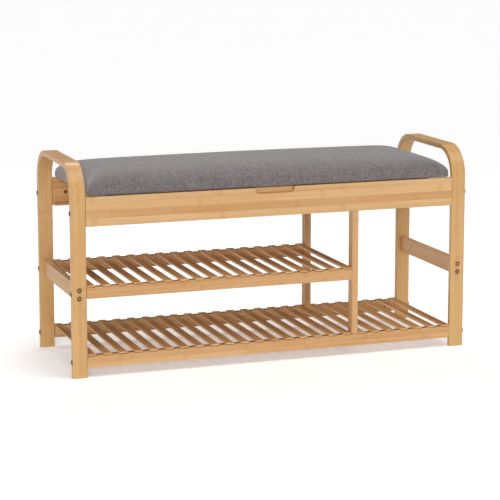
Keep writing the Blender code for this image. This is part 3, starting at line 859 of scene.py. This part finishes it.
def add_lower_shelf():
    """The glued grid: the same notched rails and slats, along the whole bench."""
    low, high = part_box("lower_shelf")
    slat_low, slat_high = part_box("upper_slat_01")
    rail_low, rail_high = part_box("upper_rail_front")
    width, thickness = slat_high.x - slat_low.x, slat_high.z - slat_low.z
    board = rail_high.y - rail_low.y
    rail_top = high.z - (slat_high.z - rail_high.z)
    pitch = (high.x - low.x - width) / (LOWER_SLATS - 1)
    slats = []
    for index in range(LOWER_SLATS):
        left = low.x + index * pitch
        slats.append((Vector((left, low.y, high.z - thickness)), Vector((left + width, high.y, high.z))))
    for label, depth in DEPTHS:
        front, back = sorted((depth * high.y, depth * (high.y - board)))
        rail_low, rail_high = Vector((low.x, front, low.z)), Vector((high.x, back, rail_top))
        bolts = end_bolts(rail_low, rail_high)
        drills = [bolt.hole() for bolt in bolts] + nut_holes(bolts, rail_low, rail_high, depth)
        nodes = ("lower_shelf",) if depth < 0 else ()
        add_rail("lower_rail_board_" + label, rail_low, rail_high, slats, drills, nodes)
    for index, (slat_low, slat_high) in enumerate(slats):
        add_slat(f"lower_shelf_slat_{index + 1:02d}", slat_low, slat_high, ())


def add_board(name, node, axes, rounding, segments, material):
    """A plain board; the axes run along, across and through it."""
    item = box_item(name, *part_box(node))
    soften(item, rounding, segments)
    drill(item, holes_for(node))
    wooden(item, straight_grain(axes), material, (node,))


def add_boards():
    """Posts, side rails, cleats and the tray."""
    for label, depth in DEPTHS:
        add_board("post_board_" + label, "divider_post_" + label, (2, 0, 1),
                  BOARD_ROUNDING, 3, BOARD_BAMBOO)
        add_board("cleat_strip_" + label, label + "_cleat", (0, 2, 1),
                  0.0005, 2, CLEAT_BAMBOO)
    for side, sign in SIDES:
        add_board("side_rail_board_" + side, "side_rail_" + side, (1, 2, 0),
                  BOARD_ROUNDING, 3, BOARD_BAMBOO)
        add_board("tray_end_board_" + side, "tray_end_" + side, (1, 2, 0),
                  0.0010, 3, BOARD_BAMBOO)
    item = box_item("tray_floor_sheet", *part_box("tray_floor"))
    soften(item, 0.0004, 2)
    settle(item)
    placed(item, PANEL, "frame", ("tray_floor",))


# ---------------------------------------------------------------- the seat


def crown_stations(half, spacing):
    """Places across the cushion: close together where its edge curves, then an even pitch."""
    steps = 18
    turns = [math.radians(90 * step / steps) for step in range(steps + 1)]
    rim = [CROWN_RUN * (1 - math.cos(turn) ** (2 / CROWN_POWER)) for turn in turns[:-1]] + [CROWN_RUN]
    inner = half - CROWN_RUN
    count = max(2, round(2 * inner / spacing))
    middle = [-inner + 2 * inner * step / count for step in range(1, count)]
    left = [-half + place for place in rim]
    return np.array(left + middle + [-place for place in reversed(left)])


def crown(distance):
    """How much of its full height the cushion has, at a distance in from its edge."""
    reached = np.clip(distance / CROWN_RUN, 0.0, 1.0)
    return (1.0 - (1.0 - reached) ** CROWN_POWER) ** (1.0 / CROWN_POWER)


def rounded_plan(x, y, half_x, half_y, corner):
    """Rounds the four corners of a rectangle about the origin."""
    a = np.clip((np.abs(x) - (half_x - corner)) / corner, 0.0, 1.0)
    b = np.clip((np.abs(y) - (half_y - corner)) / corner, 0.0, 1.0)
    new_x = np.sign(x) * ((half_x - corner) + corner * a * np.sqrt(1 - b * b / 2))
    new_y = np.sign(y) * ((half_y - corner) + corner * b * np.sqrt(1 - a * a / 2))
    return np.where(a > 0, new_x, x), np.where(b > 0, new_y, y)


def thread_lengths(stations, half, rise):
    """Distance along the crowned middle line, from its centre."""
    steps = np.hypot(np.diff(stations), np.diff(rise * crown(half - np.abs(stations))))
    run_on = np.concatenate([[0.0], np.cumsum(steps)])
    return run_on - run_on[-1] / 2


def add_cover():
    """The upholstered lid: foam and cover over the board, turned under as a hem."""
    low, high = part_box("seat_cushion")
    board_low, board_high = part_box("lid_board")
    leaf_low, leaf_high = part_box("hinge_leaf_lid_left")
    leaf_x = abs(leaf_low.x + leaf_high.x) / 2
    centre = (low + high) / 2
    half_x, half_y = (high.x - low.x) / 2, (high.y - low.y) / 2
    hem_z = board_low.z - HEM_THICKNESS
    edge_z = hem_z + COVER_TURN
    rise = high.z + COVER_LOFT - edge_z
    xs, ys = crown_stations(half_x, CLOTH_CELL), crown_stations(half_y, CLOTH_CELL)
    grid_x, grid_y = np.meshgrid(xs, ys, indexing="ij")
    # The distance to the nearest edge, softened along the mitre where two slopes meet
    to_end, to_side = half_x - np.abs(grid_x) + 1e-6, half_y - np.abs(grid_y) + 1e-6
    inwards = (to_end ** -MITRE + to_side ** -MITRE) ** (-1 / MITRE)
    height = edge_z + (rise - SWELL) * crown(inwards)
    plan_x, plan_y = rounded_plan(grid_x, grid_y, half_x, half_y, COVER_CORNER)
    thread_x, thread_y = thread_lengths(xs, half_x, rise), thread_lengths(ys, half_y, rise)

    bm = bmesh.new()
    weave = []
    grid = [[None] * len(ys) for x in xs]
    for i in range(len(xs)):
        for j in range(len(ys)):
            grid[i][j] = bm.verts.new((plan_x[i, j] + centre.x, plan_y[i, j] + centre.y, height[i, j]))
            weave.append((thread_x[i], thread_y[j], 0.0))
    for i in range(len(xs) - 1):
        for j in range(len(ys) - 1):
            bm.faces.new((grid[i][j], grid[i + 1][j], grid[i + 1][j + 1], grid[i][j + 1]))

    # The cover turns under the board's edge and runs in as a flat hem, over the lid's hinge leaves
    last_x, last_y = len(xs) - 1, len(ys) - 1
    loop = [(i, 0) for i in range(last_x)] + [(last_x, j) for j in range(last_y)]
    loop += [(i, last_y) for i in range(last_x, 0, -1)] + [(0, j) for j in range(last_y, 0, -1)]
    rows = []
    for step in (1, 2, 3, 4):
        turn = math.radians(22.5 * step)
        rows.append((COVER_TURN * (1 - math.cos(turn)), hem_z + COVER_TURN * (1 - math.sin(turn))))
    rows += [(COVER_TURN + (HEM_WIDTH - COVER_TURN) * share, hem_z) for share in (0.3, 0.65, 1.0)]
    previous = [grid[i][j] for i, j in loop]
    drop, last = 0.0, (0.0, edge_z)
    for inset, z in rows:
        drop += math.dist((inset, z), last)
        last = (inset, z)
        ring = []
        for i, j in loop:
            x = plan_x[i, j] * (1 - inset / half_x) + centre.x
            y = plan_y[i, j] * (1 - inset / half_y) + centre.y
            over_leaf = y > leaf_low.y - LEAF_MARGIN_Y and abs(abs(x) - leaf_x) < LEAF_MARGIN_X
            ring.append(bm.verts.new((x, y, max(z, leaf_high.z + 0.0001) if over_leaf else z)))
            way_x = (i == last_x) - (i == 0)
            way_y = (j == last_y) - (j == 0)
            weave.append((thread_x[i] + way_x * drop, thread_y[j] + way_y * drop, 0.0))
        for step in range(len(loop)):
            after = (step + 1) % len(loop)
            bm.faces.new((previous[step], ring[step], ring[after], previous[after]))
        previous = ring
    item = item_from("seat_cover", bm)
    write_attribute(item, "weave", weave, "FLOAT_VECTOR")

    plump(item, range(len(xs) * len(ys), len(weave)))
    modifier = item.modifiers.new("fine", "SUBSURF")
    modifier.levels = modifier.render_levels = 1
    settle(item, 180)
    item.modifiers.clear()
    pocket(item, board_low, board_high)
    placed(item, FABRIC, "lid", ("seat_cushion",))


def plump(item, pinned):
    """Inflates the cover as cloth, held at its hem, and caps how far each point moves."""
    start = points_of(item)
    group = item.vertex_groups.new(name="held")
    group.add(list(pinned), 1.0, "REPLACE")
    modifier = item.modifiers.new("cloth", "CLOTH")
    cloth = modifier.settings
    cloth.quality = 6
    cloth.mass = 0.30
    cloth.tension_stiffness = cloth.compression_stiffness = 15.0
    cloth.shear_stiffness = 7.5
    cloth.bending_stiffness = 1.0
    cloth.use_pressure = True
    cloth.uniform_pressure_force = 0.25
    cloth.vertex_group_mass = "held"
    cloth.effector_weights.gravity = 0.0
    modifier.collision_settings.use_collision = False
    modifier.collision_settings.use_self_collision = False
    scene = bpy.context.scene
    for number in range(1, CLOTH_FRAMES + 1):
        scene.frame_set(number)
    graph = bpy.context.evaluated_depsgraph_get()
    baked = bpy.data.meshes.new_from_object(item.evaluated_get(graph))
    moved = np.zeros(len(baked.vertices) * 3)
    baked.vertices.foreach_get("co", moved)
    moved = moved.reshape(-1, 3)
    item.modifiers.clear()
    scene.frame_set(1)
    shift = moved - start
    size = np.linalg.norm(shift, axis=1)
    scale = MOST_SHIFT * np.tanh(size / MOST_SHIFT) / np.maximum(size, 1e-9)
    item.data.vertices.foreach_set("co", (start + shift * scale[:, None]).ravel())
    item.data.update()
    bpy.data.meshes.remove(baked)


def pocket(item, board_low, board_high):
    """Closes the cover round the board, so that it is one solid skin of foam and fabric."""
    bm = bmesh.new()
    bm.from_mesh(item.data)
    layer = bm.verts.layers.float_vector["weave"]
    edge = next(e for e in bm.edges if e.is_boundary)
    previous, here = [edge.verts[0]], edge.verts[1]
    while here is not previous[0]:
        previous.append(here)
        edge = next(e for e in here.link_edges if e.is_boundary and e is not edge)
        here = edge.other_vert(here)
    middle = (board_low + board_high) / 2
    half_x, half_y = (board_high.x - board_low.x) / 2 + 0.0004, (board_high.y - board_low.y) / 2 + 0.0004
    inner_z, top_z = board_low.z - 0.0002, board_high.z + 0.0002

    def carried_out(vert):
        """The rim's point carried out to the board's rounded edge, from the middle."""
        x, y = vert.co.x - middle.x, vert.co.y - middle.y
        scale = max(abs(x) / half_x, abs(y) / half_y)
        x, y = x / scale, y / scale
        a = max(0.0, (abs(x) - (half_x - BOARD_CORNER)) / BOARD_CORNER)
        b = max(0.0, (abs(y) - (half_y - BOARD_CORNER)) / BOARD_CORNER)
        if a > 0 and b > 0:
            x = math.copysign(half_x - BOARD_CORNER + BOARD_CORNER * a * math.sqrt(1 - b * b / 2), x)
            y = math.copysign(half_y - BOARD_CORNER + BOARD_CORNER * b * math.sqrt(1 - a * a / 2), y)
        return x, y

    levels = [[(vert.co.x, vert.co.y, inner_z) for vert in previous]]
    edge_points = [carried_out(vert) for vert in previous]
    for grow_x, grow_y, z in ((1.0, 1.0, inner_z), (1.0, 1.0, top_z), (0.93, 0.80, top_z)):
        levels.append([(middle.x + x * grow_x, middle.y + y * grow_y, z) for x, y in edge_points])
    for level in levels:
        ring = [bm.verts.new(point) for point in level]
        for fresh, old in zip(ring, previous):
            fresh[layer] = old[layer]
        for step in range(len(ring)):
            after = (step + 1) % len(ring)
            bm.faces.new((previous[step], ring[step], ring[after], previous[after]))
        previous = ring
    bm.faces.new(previous)
    bmesh.ops.recalc_face_normals(bm, faces=bm.faces)
    for face in bm.faces:
        face.smooth = True
    bm.to_mesh(item.data)
    bm.free()


def add_lid_board():
    low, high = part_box("lid_board")
    r = BOARD_CORNER
    places = ((high.x - r, high.y - r), (low.x + r, high.y - r),
              (low.x + r, low.y + r), (high.x - r, low.y + r))
    outline = []
    for quarter, place in enumerate(places):
        outline += arc(place, r, 90 * quarter, 90 * quarter + 90, 8)
    bm = bmesh.new()
    loft(bm, [[(a, b, z) for a, b in outline] for z in (low.z, high.z)])
    item = item_from("lid_panel", bm)
    soften(item, 0.0008, 2, 60)
    settle(item)
    placed(item, PANEL, "lid", ("lid_board",))


def spread(low, high, inset, count):
    """Even places between two ends, the first and last this far inside them."""
    return [low + inset + (high - low - 2 * inset) * index / (count - 1) for index in range(count)]


def add_staples():
    """Wire staples through the hem into the board, every few centimetres."""
    low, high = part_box("lid_board")
    rows = []
    for x in spread(low.x, high.x, *LONG_STAPLES):
        rows += [(x, low.y + STAPLE_INSET, 0.0), (x, high.y - STAPLE_INSET, 0.0)]
    for y in spread(low.y, high.y, *SHORT_STAPLES):
        rows += [(low.x + STAPLE_INSET, y, math.pi / 2), (high.x - STAPLE_INSET, y, math.pi / 2)]
    half = [(STAPLE_HALF, 0.0009)]
    for degrees in (90, 60, 30, 0):
        turn = math.radians(degrees)
        half.append((STAPLE_HALF - STAPLE_BEND * (1 - math.sin(turn)),
                     STAPLE_BEND * (1 - math.cos(turn)) - WIRE_RADIUS))
    line = [(-a, b) for a, b in half] + half[::-1]
    bm = bmesh.new()
    for x, y, heading in rows:
        tilt = dice.uniform(-0.25, 0.25) + heading
        way = Vector((math.cos(tilt), math.sin(tilt), 0.0))
        side = Vector((-way.y, way.x, 0.0))
        up = Vector((0.0, 0.0, 1.0))
        rings = []
        for index, (a, b) in enumerate(line):
            before, after = line[max(index - 1, 0)], line[min(index + 1, len(line) - 1)]
            along = (way * (after[0] - before[0]) + up * (after[1] - before[1])).normalized()
            across = along.cross(side).normalized()
            origin = Vector((x, y, low.z - HEM_THICKNESS)) + way * a + up * b
            rings.append([origin + side * c + across * d for c, d, level in circle(WIRE_RADIUS, 0.0, 8)])
        loft(bm, rings)
    item = item_from("hem_staples", bm)
    settle(item, 50)
    placed(item, STEEL, "lid")


# ---------------------------------------------------------------- hinges


def add_hinges():
    end = ((0.0004, 0.0), (0.0001, 0.00012), (0.0, 0.0004))  # a rod's rounded end, inwards and along
    for side, sign in SIDES:
        add_leaf(side, "fixed", "frame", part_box("back_apron")[1].z, 1, FIXED_SCREWS)
        add_leaf(side, "lid", "lid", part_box("lid_board")[0].z - GAP - LEAF_THICKNESS, -1, LID_SCREWS)
        low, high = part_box("hinge_pin_" + side)
        profile = [(PIN_RADIUS - a, -b) for a, b in end]
        profile += [(PIN_RADIUS - a, b - (high.x - low.x)) for a, b in reversed(end)]
        bm = bmesh.new()
        turned(bm, profile, 24)
        aimed(bm, 0, 1, (high.x, (low.y + high.y) / 2, (low.z + high.z) / 2))
        item = item_from("hinge_rod_" + side, bm)
        settle(item, 40)
        placed(item, STEEL, "frame", ("hinge_pin_" + side,))


def add_leaf(side, kind, body, head, way, screws):
    """A leaf with its knuckles, bore and countersunk screws; their heads are at a height and face a way."""
    node = f"hinge_leaf_{kind}_{side}"
    low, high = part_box("hinge_pin_" + side)
    axis = (low + high) / 2
    third = (high.x - low.x) / 6
    knuckles = ((low.x, axis.x - third), (axis.x + third, high.x))
    if kind == "lid":
        knuckles = ((axis.x - third + GAP, axis.x + third - GAP),)
    edge = axis.y - LEAF_TO_KNUCKLE
    bottom, top = sorted((head, head - way * LEAF_THICKNESS))
    item = box_item(f"hinge_plate_{kind}_{side}", (low.x, edge - LEAF_WIDTH, bottom), (high.x, edge, top))
    soften(item, 0.00025, 2)
    inset = 0.0001
    for index, (left, right) in enumerate(knuckles):
        tab = box_item(f"tab_{index}_{node}", (left + inset, edge - 0.001, bottom + inset),
                       (right - inset, axis.y - TAB_TO_KNUCKLE, top - inset))
        change(item, tab, "UNION")
        barrel = cylinders(f"barrel_{index}_{node}", [(0, axis, KNUCKLE_RADIUS, left, right)], 36)
        change(item, barrel, "UNION")
    bore = (0, axis, KNUCKLE_BORE, low.x - 0.001, high.x + 0.001)
    change(item, cylinders(f"bore_{node}", [bore], 24))
    places = [(axis.x + offset, edge - LEAF_WIDTH * 0.52, head) for offset in screws]
    for index, place in enumerate(places):
        bm = bmesh.new()
        turned(bm, ((0.0026, 0.0006), (0.0011, -LEAF_THICKNESS - 0.0002)), 28)
        aimed(bm, 2, way, place)
        change(item, item_from(f"sink_{index}_{node}", bm))
    settle(item, 30)
    placed(item, STEEL, body, (node,))
    for index, place in enumerate(places):
        add_screw(f"hinge_screw_{kind}_{side}_{index + 1}", place, way, body)


def add_screw(name, place, way, body):
    """A countersunk cross-head screw; its tip goes into the wood."""
    bm = bmesh.new()
    profile = [(0.0018, -0.00016), (0.00205, -0.00010), (0.0021, -0.00022),
               (0.00085, -0.0011), (0.00085, -0.0065), (0.0001, -0.0082)]
    turned(bm, profile, 28)
    aimed(bm, 2, way, place)
    item = item_from(name, bm)
    turn = dice.uniform(0, math.pi / 2)
    arm, half, deep = 0.0012, 0.00022, 0.0007
    cross = [(arm, half), (half, half), (half, arm), (-half, arm), (-half, half), (-arm, half),
             (-arm, -half), (-half, -half), (-half, -arm), (half, -arm), (half, -half), (arm, -half)]
    rings = []
    for height, scale in ((0.0003, 1.0), (-deep, 0.62)):
        rings.append([(scale * (a * math.cos(turn) - b * math.sin(turn)),
                       scale * (a * math.sin(turn) + b * math.cos(turn)), height) for a, b in cross])
    bm = bmesh.new()
    loft(bm, rings)
    aimed(bm, 2, way, place)
    change(item, item_from(name + "_cross", bm))
    settle(item, 30)
    placed(item, STEEL, body)


# ---------------------------------------------------------------- stage


def add_floor():
    """A wide pale floor that glows a little, so that it reads as white paper."""
    s = Shader("studio_floor")
    dust = s.noise(s.place(), (3.0, 3.0, 3.0), 0.2, 2.0)
    paper = s.mix(dust, (0.92, 0.90, 0.87, 1.0), (0.94, 0.92, 0.89, 1.0))
    s.finish(paper, 0.75, Specular_IOR_Level=0.2,
             Emission_Color=(0.87, 0.935, 1.0, 1.0), Emission_Strength=0.282)
    bm = bmesh.new()
    size, level = 30.0, cad_low.z - GAP
    bm.faces.new([bm.verts.new((x, y, level)) for x, y in
                  ((-size, -size), (size, -size), (size, size), (-size, size))])
    floor = item_from("studio_floor", bm)
    floor.data.materials.append(s.material)


def add_lights():
    world = bpy.data.worlds.new("studio")
    world.use_nodes = True
    background = world.node_tree.nodes["Background"]
    background.inputs["Color"].default_value = (1.0, 1.0, 1.0, 1.0)
    background.inputs["Strength"].default_value = 0.19
    bpy.context.scene.world = world
    bpy.context.scene.view_settings.view_transform = "Standard"
    origin = (0.0, 0.0, 0.0)
    lamp("sky", "SUN", origin, (-0.15, 0.36, -0.92), 1.65, angle=math.radians(46.0))
    lamp("key", "SUN", origin, (0.46, 0.83, -0.33), 1.38, angle=math.radians(26.0))
    lamp("over", "AREA", (0.2, 1.1, 1.9), (-0.1, 0.0, 0.35), 13.0, shape="RECTANGLE", size=1.3, size_y=0.5)


def lamp(name, kind, place, target, power, **sizes):
    data = bpy.data.lights.new(name, kind)
    data.energy = power
    for key, value in sizes.items():
        setattr(data, key, value)
    item = bpy.data.objects.new(name, data)
    item.location = place
    item.rotation_euler = (Vector(target) - Vector(place)).to_track_quat("-Z", "Y").to_euler()
    bpy.context.scene.collection.objects.link(item)


def add_camera():
    """From the front and the left, a little above the seat."""
    data = bpy.data.cameras.new("camera")
    data.sensor_width = 36.0
    data.lens = 133.524
    data.shift_y = -0.100
    data.clip_start, data.clip_end = 0.1, 100.0
    camera = bpy.data.objects.new("camera", data)
    camera.location = (-1.5090, -4.2577, 1.1036)
    camera.rotation_euler = (math.radians(90.0 - 9.235), 0.0, math.radians(-19.474))
    bpy.context.scene.collection.objects.link(camera)
    bpy.context.scene.camera = camera


add_camera()
add_arch("arch_strip_left", "arch_left")
add_arch("arch_strip_right", "arch_right")
add_aprons()
add_upper_shelf()
add_lower_shelf()
add_boards()
add_lid_board()
add_cover()
add_staples()
add_hinges()
add_bolts()
add_nuts()
add_floor()
add_lights()
